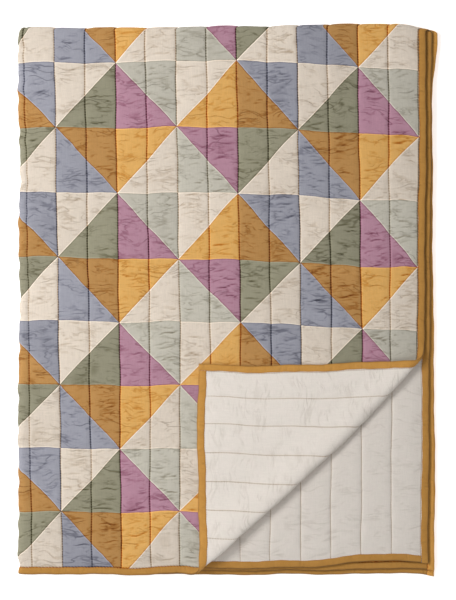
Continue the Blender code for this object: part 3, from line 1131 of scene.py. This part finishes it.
@dataclass(frozen=True)
class PatchworkFinish:
    """The pieced front: two-triangle patches of seven cottons, their seams and their threads."""

    quilt: Quilt = Quilt()
    weave: Weave = Weave()
    groove: QuiltingGroove = QuiltingGroove()
    puckers: FinePuckers = FinePuckers()
    dark_seam: float = 0.0007
    # Offset and width of the painted highlight on each seam's paler side.
    seam_highlight: float = 0.0009
    highlight_width: float = 0.0008
    ditch_width: float = 0.0010
    hem_width: float = 0.0019
    hem_beat: float = 0.30
    mottle: float = 0.11
    thread_shade: float = 1.3
    seam_wander: float = 0.0022
    seam_arch: float = 0.0009
    tint: float = 0.11
    drawn_u: float = -0.080
    drawn_width: float = 0.034
    drawn_length: float = 0.055
    drawn_by: float = 0.019

    def patches(self, board: ClothBoard) -> tuple[Signal, Signal, Signal]:
        """The cotton at each place, and the distances to the seams.

        Args:
            board: the material's board.

        Returns:
            The cotton's colour, and the distances from the nearest row seam and from the diagonal seam,
            both above zero on the paler side.
        """
        quilt, u, v = self.quilt, board.u, board.v
        wander = board.grain(38.0, 38.0) * self.seam_wander
        arch = (u * (math.pi / quilt.quilting_pitch)).math("SINE").size() * self.seam_arch
        drawn = (u - self.drawn_u).bell(self.drawn_width) * v.bell(self.drawn_length) * self.drawn_by
        across = (u + wander - drawn) * (1 / quilt.patch_width)
        down = 0.5 - (v + wander - arch) * (1 / quilt.patch_height)
        column = (across.floor() + 1.0).wrapped(4.0)
        row = down.floor().wrapped(2.0)
        x, y = across.fraction(), down.fraction()
        past = x + y + (1.0 - 2.0 * y) * (column + row).wrapped(2.0) - 1.0
        kind = column + row * 4.0
        half = past.above(0.0)
        cotton = board.pick([linear(cotton.value) for cotton in PATCH_COTTONS], kind + half * 8.0)
        place = board.at(across.floor(), down.floor(), half)
        chance = board.node("ShaderNodeTexWhiteNoise", {"noise_dimensions": "3D"}, {0: place}, "Value")
        nearest = (down + 0.5).floor()
        upper = self.either_side(board, PALER_ABOVE, column + (nearest + 1.0).wrapped(2.0) * 4.0)
        row_seam = (nearest - down) * upper * quilt.patch_height
        lean = 1.0 / math.hypot(1 / quilt.patch_width, 1 / quilt.patch_height)
        diagonal = past * self.either_side(board, PALER_RIGHT, kind) * lean
        return cotton * ((chance - 0.5) * self.tint + 1.0), row_seam, diagonal

    def either_side(self, board: Board, shares: tuple[int, ...], kind: Signal) -> Signal:
        """Reads 1 or -1 for a kind of patch, from a list of 1 or 0."""
        return board.pick(shares, kind).math("MULTIPLY", 2.0) - 1.0

    def material(self) -> bpy.types.Material:
        """The finished material of the pieced front."""
        board = ClothBoard("patchwork_cotton")
        cotton, row_seam, diagonal = self.patches(board)
        threads = self.weave.threads(board)
        mottle = board.grain(62.0, 62.0, 5.0, 3.0)
        colour = cotton * (1.0 + threads * self.weave.tone + mottle * self.mottle)
        seams = (row_seam, diagonal)
        dark_rows, dark_slopes = ((seam + self.dark_seam).bell(self.dark_seam) for seam in seams)
        # The line on each seam's paler side is a painted highlight.
        highlight_rows, highlight_slopes = ((seam - self.seam_highlight).bell(self.highlight_width) for seam in seams)
        dark_seam = dark_rows * 0.42 + dark_slopes * 0.50
        seam_highlight = highlight_rows * 0.30 + highlight_slopes * 0.38
        dark, light = self.groove.shade(board)
        crinkle, fine, trough, ridge = self.puckers.wrinkles(board)
        # Painted shade deepens the groove, the puckers' troughs and the strip beside the binding's hem; the
        # seams' dark lines join it.
        shade = dark * 2.8 + dark_seam + trough * 0.54 + fine * 0.40 + self.hem(board) * 1.5 - crinkle * 0.08
        # Painted shade in the groove and the troughs, and painted highlight on the groove's far side and the
        # ridges, scale the colour.
        painted_shading = dark * 0.16 - light * 0.10 - ridge * 0.14 + trough * 0.11 + fine * 0.09
        colour = (colour * (1.0 + seam_highlight)).deeper(shade) * (1.0 - painted_shading)
        ditch = row_seam.bell(self.ditch_width) * -0.00030 + diagonal.bell(self.ditch_width) * -0.00025
        step = diagonal.rising(-0.0016, 0.0008) * -0.00025 + crinkle * 0.0004 - fine * 0.0009
        return board.cotton(colour, 0.90, ditch + step + threads * self.weave.lift, 0.06)

    def hem(self, board: ClothBoard) -> Signal:
        """The narrow painted shade beside the hem of the binding, beaded at the hem's stitches.

        Args:
            board: the material's board.

        Returns:
            From 0 away from the hem to 1 at it.
        """
        quilt = self.quilt
        middle = (quilt.right + quilt.left) / 2
        half = (quilt.right - quilt.left) / 2 - quilt.binding_width
        from_side = half - (board.u - middle).size()
        from_end = (quilt.half_length - quilt.binding_width) - board.v.size()
        beat = (board.u + board.v).beat(quilt.hem_pitch, self.hem_beat)
        return from_side.at_most(from_end).bell(self.hem_width) * beat

    def thread(self) -> bpy.types.Material:
        """The quilting thread of the front, which takes up the tone of each cotton."""
        board = ClothBoard("quilting_thread")
        twist = board.twist()
        cotton = self.patches(board)[0].deeper(self.thread_shade)
        return board.thread(cotton * (0.70 + twist * 0.3), twist)


@dataclass(frozen=True)
class BackingFinish:
    """The plain cream cotton of the back."""

    tones: tuple = ((232, 226, 217), (231, 222, 215))
    thread_tones: tuple = ((158, 148, 137), (182, 172, 160))
    mottle: float = 0.06
    # Painted shade of the layer below the turned corner.
    lower_shade: float = 0.10
    weave: Weave = Weave(tone=0.10)
    groove: QuiltingGroove = QuiltingGroove(dark_width=0.0008)
    puckers: FinePuckers = FinePuckers(long_run=0.090, long_gap=0.0150, short_run=0.045, short_gap=0.0090)

    def material(self) -> bpy.types.Material:
        """The finished material of the back."""
        board = ClothBoard("backing_cotton")
        threads = self.weave.threads(board)
        mottle = board.grain(45.0, 45.0, 5.0, 3.0)
        base = board.mix("MIX", *map(linear, self.tones), mottle + 0.5)
        dark, light = self.groove.shade(board)
        crinkle, fine, trough, ridge = self.puckers.wrinkles(board)
        # Painted shade deepens the groove and the puckers' troughs.
        shade = dark * 2.6 + trough * 0.22 + fine * 0.14 - crinkle * 0.08
        # Painted shade in the troughs and painted highlight on the ridges.
        painted_crease_shade = trough * 0.11 + fine * 0.08 - ridge * 0.06
        colour = (base * (1.0 + threads * self.weave.tone + mottle * self.mottle)).deeper(shade)
        # Painted shade on the layer below the turned corner, and painted shade and highlight at the groove.
        below = board.v.above(0.0) * self.lower_shade
        colour = colour * (1.0 - dark * 0.06 + light * 0.05 - painted_crease_shade - below)
        height = threads * self.weave.lift + crinkle * 0.0005 - fine * 0.00045
        return board.cotton(colour, 0.92, height, 0.06)

    def thread(self) -> bpy.types.Material:
        """The quilting thread as it shows on the back."""
        board = ClothBoard("backing_thread")
        twist = board.twist()
        return board.thread(board.mix("MIX", *map(linear, self.thread_tones), twist + 0.5), twist)


@dataclass(frozen=True)
class BindingFinish:
    """The ochre-brown binding: on its meshes u runs along the strip and v round its section."""

    tones: tuple = ((204, 151, 76), (172, 121, 54))
    weave: Weave = Weave(thread=0.0008, slub=0.007, tone=0.15)
    mottle: float = 0.10
    stitch_pitch: float = 0.0065
    stitch_beat: float = 0.30
    half_width: float = 0.0165
    front_hem: float = 0.0016
    back_hem: float = 0.0012
    # Width of the painted shade at the strip's outer edge.
    nose_width: float = 0.0025

    def material(self) -> bpy.types.Material:
        """The finished material of the binding."""
        board = ClothBoard("binding_cotton")
        threads = self.weave.threads(board)
        mottle = board.grain(70.0, 70.0, 2.0, 3.0)
        base = board.mix("MIX", *map(linear, self.tones), mottle * 0.9 + 0.35)
        front_hem = (self.half_width + board.v).bell(self.front_hem) * 1.5
        back_hem = (self.half_width - board.v).bell(self.back_hem) * 0.7
        shade = (front_hem + back_hem) * board.u.beat(self.stitch_pitch, self.stitch_beat)
        # Painted shade on the strips of the lower layers, painted light on the left ones, as kept on the
        # mesh.
        painted_layer_shade = board.attribute("shade")
        # Painted shade at the strip's outer edge, where it meets the strip below.
        nose_shade = board.v.bell(self.nose_width) * (painted_layer_shade * 1.7 + 0.38)
        colour = (base * (1.0 + threads * self.weave.tone + mottle * self.mottle)).deeper(shade)
        # The strip's crease troughs are painted darker and their ridges lighter.
        colour = colour * (1.04 + board.relief() * 0.35 - painted_layer_shade - nose_shade)
        return board.cotton(colour, 0.88, threads * self.weave.lift, 0.06)


def dress(obj: bpy.types.Object, material: bpy.types.Material, nodes: tuple[str, ...]) -> None:
    """Gives a piece its material and its place in the part.

    Args:
        obj: the piece.
        material: its finish.
        nodes: the solids that it stands for.
    """
    obj.data.materials.append(material)
    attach(obj, "root")
    if nodes:
        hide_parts(*nodes)
    log.info("%s: %d faces", obj.name, len(obj.data.polygons))


@dataclass
class PatchworkFront:
    """The pieced front, as two sheets that meet at hidden seams: the top layer, and what lies under it."""

    folding: Folding
    finish: PatchworkFinish
    split_u: float = -0.120
    split_v: float = 0.0633
    row_seam: float = -0.5697
    row_step: float = 0.0016
    lanes_from: float = -0.045

    def build_top(self) -> list[bpy.types.Object]:
        """Builds the top layer, round both folds, as two sheets that meet at a sewn row seam."""
        quilt = self.folding.quilt
        inner = lane_places(self.lanes_from, quilt.right - quilt.rim_inset, quilt.quilting_pitch)
        us = np.concatenate((spaced((self.split_u, 0.003), (self.lanes_from, 1.0))[:-1], inner))
        start = -quilt.half_length + quilt.rim_inset
        near = spaced((start, self.row_step), (self.row_seam, 1.0))
        far = spaced((self.row_seam, self.row_step), (-0.004, 0.0012), (0.032, 0.004), (self.split_v, 1.0))
        vs = np.concatenate((near[:-1], far))
        count = len(near)
        parts = {"patchwork_near_cloth": slice(0, count), "patchwork_far_cloth": slice(count - 1, None)}
        return Relief(self.folding, Face.FRONT, us, vs, 11, 3600, 1.0).sheets(parts)

    def build_under(self) -> bpy.types.Object:
        """Builds the sheet of the layers below, coarser where nothing shows."""
        quilt = self.folding.quilt
        left, right = quilt.left + quilt.rim_inset, quilt.right - quilt.rim_inset
        folds = ((-0.840, 0.012), (self.split_u, 0.003), (self.lanes_from, 0.012))
        us = spaced((left, 0.004), *folds, (right, 1.0))
        end = quilt.half_length - quilt.rim_inset
        stops = ((-end, 0.012), (-0.010, 0.0012), (0.032, 0.004), (self.split_v, 0.012), (end, 1.0))
        vs = spaced(*stops)
        middle_u, middle_v = (us[:-1] + us[1:]) / 2, (vs[:-1] + vs[1:]) / 2
        keep = ~((middle_u[None, :] > self.split_u) & (middle_v[:, None] < self.split_v))
        relief = Relief(self.folding, Face.FRONT, us, vs, 12, 0, 0.3)
        return relief.sheets({"patchwork_under_cloth": slice(None)}, keep)[0]

    def build(self) -> None:
        """Builds and dresses the sheets."""
        quilt = self.folding.quilt
        material = self.finish.material()
        tops, under = self.build_top(), self.build_under()
        width, length = quilt.right - self.split_u, quilt.half_length + self.split_v
        for obj in (*tops, under):
            dress(obj, material, ("patchwork_front",))
        area = quilt.size[0] * quilt.size[1] - width * length
        quilt.size


@dataclass
class Backing:
    """The plain back, fine where the turned corner shows it."""

    folding: Folding
    finish: BackingFinish
    fine_from: float = 0.190
    row_step: float = 0.0042

    def build(self) -> None:
        """Builds and dresses the back."""
        quilt = self.folding.quilt
        left, right = quilt.left + quilt.rim_inset, quilt.right - quilt.rim_inset
        coarse = spaced((left, 0.012), (-0.120, 0.004), (-0.045, 0.012), (self.fine_from, 1.0))
        us = np.concatenate((coarse[:-1], lane_places(self.fine_from, right, quilt.quilting_pitch)))
        end, step = quilt.half_length - quilt.rim_inset, self.row_step
        vs = spaced((-end, step), (-0.50, 0.014), (-0.004, 0.0016), (0.032, 0.014), (0.56, step), (end, 1.0))
        relief = Relief(self.folding, Face.BACK, us, vs, 21, 3600, 0.6, cleft=0.0006)
        (obj,) = relief.sheets({"backing_cloth": slice(None)})
        dress(obj, self.finish.material(), ("backing",))
        quilt.size


class Edge(Enum):
    """The bound edges of the flat bedspread.

    Each has its solid's name, its piece's name, whether it is a long side, the way inwards, and how much
    painted shade deepens its tone off the turned corner, with painted light where it is below zero.
    """

    RIGHT = ("binding_side_right", "binding_right_cloth", True, -1, 0.18)
    LEFT = ("binding_side_left", "binding_left_cloth", True, 1, -0.20)
    BOTTOM = ("binding_end_bottom", "binding_bottom_cloth", False, 1, 0.15)
    TOP = ("binding_end_top", "binding_top_cloth", False, -1, 0.18)

    def __init__(self, solid: str, piece: str, side: bool, inward: int, painted_shading: float) -> None:
        """Keeps the edge's values under their names."""
        self.solid, self.piece, self.side, self.inward, self.painted_shading = solid, piece, side, inward, painted_shading


@dataclass
class Binding:
    """One strip of the binding: a strip folded over the quilt's edge and hemmed down on both faces."""

    folding: Folding
    edge: Edge
    finish: BindingFinish
    step: float = 0.00135
    scallop: float = 0.00045
    crease_pitch: float = 0.010
    crease_reach: float = 0.014
    closing: float = 0.0018
    joint_gap: float = 0.0003
    seed: int = 31

    def section(self) -> Array:
        """The strip's section from its front hem round the outer edge to its back hem.

        Returns:
            Rows of inset from the outer edge, height over the middle, and distance round the section.
        """
        quilt = self.folding.quilt
        width, half = quilt.binding_width, quilt.binding_half
        front = [
            (width + 0.1 * MM, 1.0 * MM),
            (width, 1.55 * MM),
            (width - 1.1 * MM, 1.95 * MM),
            (width * 0.70, half + 0.15 * MM),
            (width * 0.42, half + 0.2 * MM),
            (2.6 * MM, half - 0.05 * MM),
            (1.1 * MM, half - 0.75 * MM),
            (0.3 * MM, half - 1.6 * MM),
        ]
        back = [(inset, -height) for inset, height in reversed(front)]
        rows = np.array([*front, (0.1 * MM, 0.0), *back])
        lengths = np.hypot(*np.diff(rows, axis=0).T)
        round_it = np.concatenate(([0.0], np.cumsum(lengths)))
        return np.column_stack((rows, round_it - round_it[-1] / 2))

    def span(self) -> tuple[float, float]:
        """Where the strip starts and ends along its edge."""
        quilt = self.folding.quilt
        if self.edge.side:
            return -quilt.half_length, quilt.half_length
        inset = quilt.binding_width + self.joint_gap
        return quilt.left + inset, quilt.right - inset

    def stations(self) -> Array:
        """Places along the strip, closer together at its ends."""
        start, end = self.span()
        return spaced((start, 0.0005), (start + 0.003, self.step), (end - 0.003, 0.0005), (end, 1.0))

    def relief(self, along: Array, section: Array) -> Array:
        """Small cross creases and unevenness of the strip.

        Args:
            along: places along the strip.
            section: the section's rows.

        Returns:
            A height for each station and each point of the section.
        """
        dice = np.random.default_rng(self.seed + len(self.edge.solid) * 7)
        height = np.zeros((len(along), len(section)))
        inset = section[:, 0][None, :]
        face = np.sign(section[:, 1])[None, :]
        start, end = self.span()
        for _ in range(int((end - start) / self.crease_pitch)):
            at, width = dice.uniform(start, end), dice.uniform(0.9, 2.2) * MM
            depth, lean = dice.uniform(0.10, 0.42) * MM, dice.normal(0.0, 0.35)
            centre, reach = dice.uniform(0.003, 0.013), dice.uniform(0.003, 0.008)
            low, high = np.searchsorted(along, (at - self.crease_reach, at + self.crease_reach))
            across = (along[low:high][:, None] - at - lean * (inset - centre)) / width
            shape = 0.5 * np.exp(-((across - 1.6) ** 2)) - np.exp(-(across**2))
            window = np.exp(-(((inset - centre) / reach) ** 2)) * (face == dice.choice((-1, 1)))
            height[low:high] += depth * shape * window
        return height

    def place(self, along: Array, inset: Array) -> tuple[Array, Array]:
        """Places on the strip in cloth coordinates.

        Args:
            along: how far along the edge they are.
            inset: how far in from it they are.

        Returns:
            Their u and v.
        """
        quilt = self.folding.quilt
        ends = (quilt.left, quilt.right) if self.edge.side else (-quilt.half_length, quilt.half_length)
        across = ends[self.edge.inward < 0] + self.edge.inward * inset
        return (across, along) if self.edge.side else (along, across)

    def painted_layer_shade(self, u: Array, v: Array) -> Array:
        """How much painted shade deepens the cotton's tone at each place, 0 on the turned corner."""
        past = ease((self.folding.past_roll(u, v) + 0.02) / 0.04) * (v < 0.0)
        return self.edge.painted_shading * (1.0 - past * (u > 0.0))

    def build(self) -> None:
        """Builds and dresses the strip."""
        section, along = self.section(), self.stations()
        start, end = self.span()
        relief = self.relief(along, section)
        from_edge, over, round_it = (column[None, :] for column in section.T)
        turns = 2 * math.pi * along[:, None]
        beat = np.cos(turns / self.folding.quilt.stitch_pitch)
        wander = 0.35 * MM * np.sin(turns / 0.083) + 0.25 * MM * np.sin(turns / 0.031)
        at_hem = ease((from_edge - 0.010) / 0.004)
        inset = from_edge + at_hem * (self.scallop * beat + wander)
        inset = inset + (1.0 - at_hem) * 0.3 * MM * np.sin(turns / 0.047)
        from_end = np.minimum(along - start, end - along)[:, None]
        open_share = 1.0 - np.clip(from_end / self.closing, 0.0, 1.0)
        closing = np.sqrt(np.clip(1.0 - open_share**2, 0.0, 1.0))
        height = (over + np.sign(over) * relief) * (0.12 + 0.88 * closing)
        height = height * (1.0 + 0.05 * beat * at_hem)
        station = np.broadcast_to(along[:, None], inset.shape)
        u, v = (grid.ravel() for grid in self.place(station, inset))
        points = self.folding.place(u, v, height.ravel())
        cloth = np.column_stack((station.ravel(), np.broadcast_to(round_it, inset.shape).ravel()))
        faces = grid_faces(*inset.shape, self.edge.inward < 0)
        values = {"relief": relief.ravel(), "shade": self.painted_layer_shade(u, v)}
        obj = make_mesh(self.edge.piece, points, faces, cloth, **values)
        dress(obj, self.finish.material(), (self.edge.solid,))


@dataclass
class Stitches:
    """Rows of hand stitches, each a short plump length of thread lying on the cloth."""

    folding: Folding
    name: str
    length: float = 0.0028
    radius: float = 0.00034
    sides: int = 5
    rings: tuple[tuple[float, float], ...] = ((-0.5, 0.1), (-0.28, 0.95), (0.28, 0.95), (0.5, 0.1))

    def build(self, centres: Array, material: bpy.types.Material, slot: str) -> None:
        """Builds all stitches as one piece, each along v.

        Args:
            centres: one row of u, v and w for each stitch.
            material: the thread's finish.
            slot: not used.
        """
        count, sides = len(self.rings), self.sides
        turns = np.tile(2 * math.pi * np.arange(sides) / sides, count)
        run, girth = np.repeat(self.rings, sides, axis=0).T
        u = centres[:, :1] + girth * self.radius * np.cos(turns)
        v = centres[:, 1:2] + run * self.length
        w = centres[:, 2:] + girth * self.radius * np.sin(turns)
        one = []
        for low in range(0, (count - 1) * sides, sides):
            for corner in range(sides):
                other, high = (corner + 1) % sides, low + sides
                one.append((low + corner, low + other, high + other, high + corner))
        faces = np.array(one)[None, :, :] + (np.arange(len(centres)) * u.shape[1])[:, None, None]
        points = self.folding.place(u.ravel(), v.ravel(), w.ravel())
        middle = np.repeat(centres[:, :2], u.shape[1], axis=0)
        obj = make_mesh(self.name, points, faces.reshape(-1, 4), middle, relief=np.zeros(len(points)))
        dress(obj, material, ())


@dataclass
class Quilting:
    """The quilting: straight lines of running stitches along the cloth, every half patch."""

    folding: Folding
    patchwork: PatchworkFinish
    backing: BackingFinish
    lift: float = 0.00012
    seed: int = 41

    def lines(self, first: int, last: int, start: float, end: float) -> Array:
        """Stitches along several quilting lines.

        Args:
            first: number of the first line.
            last: number of the last line.
            start: where the lines start.
            end: where they end.

        Returns:
            One row of u and v for each stitch.
        """
        quilt = self.folding.quilt
        dice = np.random.default_rng(self.seed + first + round((start + 2.0) * 100))
        rows = []
        for line in range(first, last + 1):
            count = int((end - start) / quilt.stitch_pitch)
            v = start + (np.arange(count) + 0.5) * quilt.stitch_pitch + dice.normal(0.0, 0.00025, count)
            u = line * quilt.quilting_pitch + dice.normal(0.0, 0.00018, count)
            rows.append(np.column_stack((u, v)))
        return np.concatenate(rows)

    def depth(self, places: Array, cleft: float) -> Array:
        """Height of the groove's floor at each stitch.

        Args:
            places: rows of u and v.
            cleft: depth of the groove's cleft.

        Returns:
            The heights.
        """
        quilt = self.folding.quilt
        u, v = places.T
        from_edge = np.minimum(quilt.right - u, quilt.half_length - np.abs(v))
        floor = quilt.rim_half + (quilt.stitch_dip - cleft - quilt.rim_half) * quilt.crown_share(from_edge)
        return floor + self.lift

    def build(self) -> None:
        """Builds the stitches of both faces where they show."""
        quilt = self.folding.quilt
        low = -quilt.half_length + quilt.binding_width + 0.002
        front = self.lines(-1, 12, low, 0.026)
        front = front[self.folding.past_roll(*front.T) < 0.045]
        centres = np.column_stack((front, self.depth(front, 0.0009)))
        piece = Stitches(self.folding, "quilting_stitches_front")
        piece.build(centres, self.patchwork.thread(), "patchwork")
        flap = self.lines(4, 12, low, -0.58)
        flap = flap[self.folding.past_roll(*flap.T) > -0.012]
        lower = self.lines(4, 12, 0.58, -low)
        back = np.concatenate((flap, lower))
        centres = np.column_stack((back, -self.depth(back, 0.0006)))
        piece = Stitches(self.folding, "quilting_stitches_back", length=0.0024)
        piece.build(centres, self.backing.thread(), "backing")


@dataclass
class Photograph:
    """The stage: a white floor, three soft lamps with the strongest at the left, and a camera overhead."""

    camera_height: float = 7.0
    view_height: float = 1.188
    aim: tuple[float, float] = (-0.0003, 0.0000)
    floor_size: float = 40.0
    floor_height: float = -0.0006
    focus_height: float = 0.018
    film_width: float = 36.0
    sight: float = 50.0
    room_light: float = 0.27
    lamp_colour: tuple[float, float, float] = (1.0, 0.985, 0.965)
    lamps: tuple = (
        # name, place, size, power
        ("key_light", (-1.35, 0.80, 2.1), 1.0, 43.0),
        ("fill_light", (-1.4, -1.4, 2.0), 1.6, 18.0),
        ("bounce_light", (1.3, -1.5, 2.4), 1.6, 7.5),
    )

    def build_floor(self) -> None:
        """Builds the plain white floor."""
        half = self.floor_size / 2
        corners = [(x * half, y * half, self.floor_height) for x, y in ((-1, -1), (1, -1), (1, 1), (-1, 1))]
        mesh = bpy.data.meshes.new("floor")
        mesh.from_pydata(corners, [], [(0, 1, 2, 3)])
        floor = bpy.data.objects.new("floor", mesh)
        bpy.context.scene.collection.objects.link(floor)
        values = {"Base Color": (0.92, 0.92, 0.92, 1.0), "Roughness": 1.0, "Specular IOR Level": 0.0}
        glow = {"Emission Color": (1.0, 1.0, 1.0, 1.0), "Emission Strength": 0.6}
        mesh.materials.append(Board("floor_white").finish({**values, **glow}))

    def build_light(self) -> None:
        """Sets the soft light of the room and the three lamps."""
        world = bpy.data.worlds.new("studio")
        world.use_nodes = True
        background = world.node_tree.nodes["Background"]
        background.inputs["Color"].default_value = (1.0, 1.0, 1.0, 1.0)
        background.inputs["Strength"].default_value = self.room_light
        bpy.context.scene.world = world
        for name, place, size, energy in self.lamps:
            lamp = bpy.data.lights.new(name, "AREA")
            lamp.shape = "SQUARE"
            lamp.size = size
            lamp.energy = energy
            lamp.color = self.lamp_colour
            obj = bpy.data.objects.new(name, lamp)
            obj.location = place
            obj.rotation_mode = "QUATERNION"
            obj.rotation_quaternion = (-Vector(place)).to_track_quat("-Z", "Y")
            bpy.context.scene.collection.objects.link(obj)

    def build_camera(self) -> None:
        """Sets the camera straight over the bundle, with a long lens."""
        data = bpy.data.cameras.new("camera")
        data.sensor_width = self.film_width
        distance = self.camera_height - self.focus_height
        data.lens = self.film_width * distance / self.view_height
        data.clip_end = self.sight
        camera = bpy.data.objects.new("camera", data)
        camera.location = (*self.aim, self.camera_height)
        bpy.context.scene.collection.objects.link(camera)
        bpy.context.scene.camera = camera

    def build(self) -> None:
        """Builds the floor, the light and the camera."""
        self.build_camera()
        self.build_floor()
        self.build_light()
        bpy.context.scene.view_settings.view_transform = "Standard"
        bpy.context.scene.view_settings.look = "None"


def main() -> None:
    """Builds the bedspread's pieces and the stage in order."""
    logging.basicConfig(level=logging.INFO, format="%(message)s")
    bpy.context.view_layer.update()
    folding = Folding()
    patchwork, backing, binding = PatchworkFinish(), BackingFinish(), BindingFinish()
    Photograph().build()
    PatchworkFront(folding, patchwork).build()
    Backing(folding, backing).build()
    for edge in Edge:
        Binding(folding, edge, binding).build()
    Quilting(folding, patchwork, backing).build()


if __name__ == "__main__":
    main()
